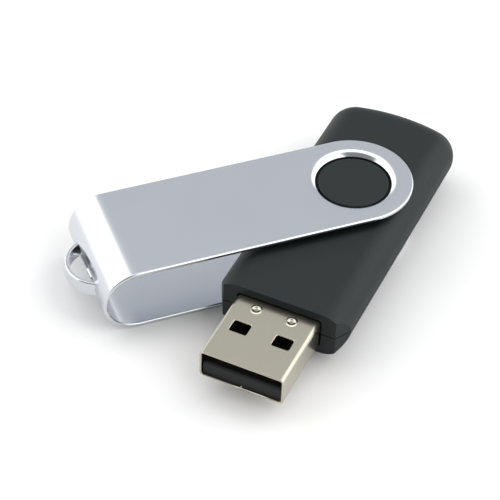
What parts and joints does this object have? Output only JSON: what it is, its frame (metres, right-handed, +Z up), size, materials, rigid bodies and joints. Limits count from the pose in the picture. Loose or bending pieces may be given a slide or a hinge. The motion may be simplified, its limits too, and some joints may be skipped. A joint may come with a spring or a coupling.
{
  "type": "usb flash drive",
  "caption": "USB flash drive with a flat moulded housing, an exposed metal plug and a folded metal clip that swivels about round bosses to cover the plug and carries a key loop.",
  "frame": {"origin": "under the middle of the bounding box, on the surface that the clip's lower arm rests on", "axes": "-Y is the way the plug points, +Y is the rear end, +Z is up along the swivel axis, the upper shell uppermost"},
  "size_m": [0.043, 0.0558, 0.01],
  "materials": {
    "clip_metal": "satin flats with polished rolled edges",
    "shell_plastic": "fine soft-touch grain",
    "plug_metal": "nickel-plated, lightly rubbed",
    "insulator_plastic": "moulded",
    "contact_gold": "gold-plated",
    "board_laminate": "solder mask",
    "chip_epoxy": "moulded epoxy with tinned leads",
    "crystal_metal": "plain",
    "capacitor_ceramic": "fired ceramic",
    "resistor_ceramic": "fired ceramic",
    "led_plastic": "clear moulded"
  },
  "bodies": {
    "drive": {"upper_shell": "shell_plastic", "lower_shell": "shell_plastic", "plug_shell": "plug_metal", "plug_insulator": "insulator_plastic", "contact_vbus": "contact_gold", "contact_data_minus": "contact_gold", "contact_data_plus": "contact_gold", "contact_ground": "contact_gold", "circuit_board": "board_laminate", "flash_memory_chip": "chip_epoxy", "controller_chip": "chip_epoxy", "crystal": "crystal_metal", "voltage_regulator": "chip_epoxy", "status_led": "led_plastic", "capacitor_1": "capacitor_ceramic", "resistor_1": "resistor_ceramic", "capacitor_2": "capacitor_ceramic", "resistor_2": "resistor_ceramic", "capacitor_3": "capacitor_ceramic", "resistor_3": "resistor_ceramic", "capacitor_4": "capacitor_ceramic", "resistor_4": "resistor_ceramic", "capacitor_5": "capacitor_ceramic", "resistor_5": "resistor_ceramic", "capacitor_6": "capacitor_ceramic", "resistor_6": "resistor_ceramic"},
    "clip": {"swivel_clip": "clip_metal"}
  },
  "joints": [
    {"name": "clip_swivel", "type": "hinge", "parent": "drive", "child": "clip", "pos_m": [0.01199, 0.00868, 0.005], "axis": [0, 0, 1], "continuous": true}
  ]
}
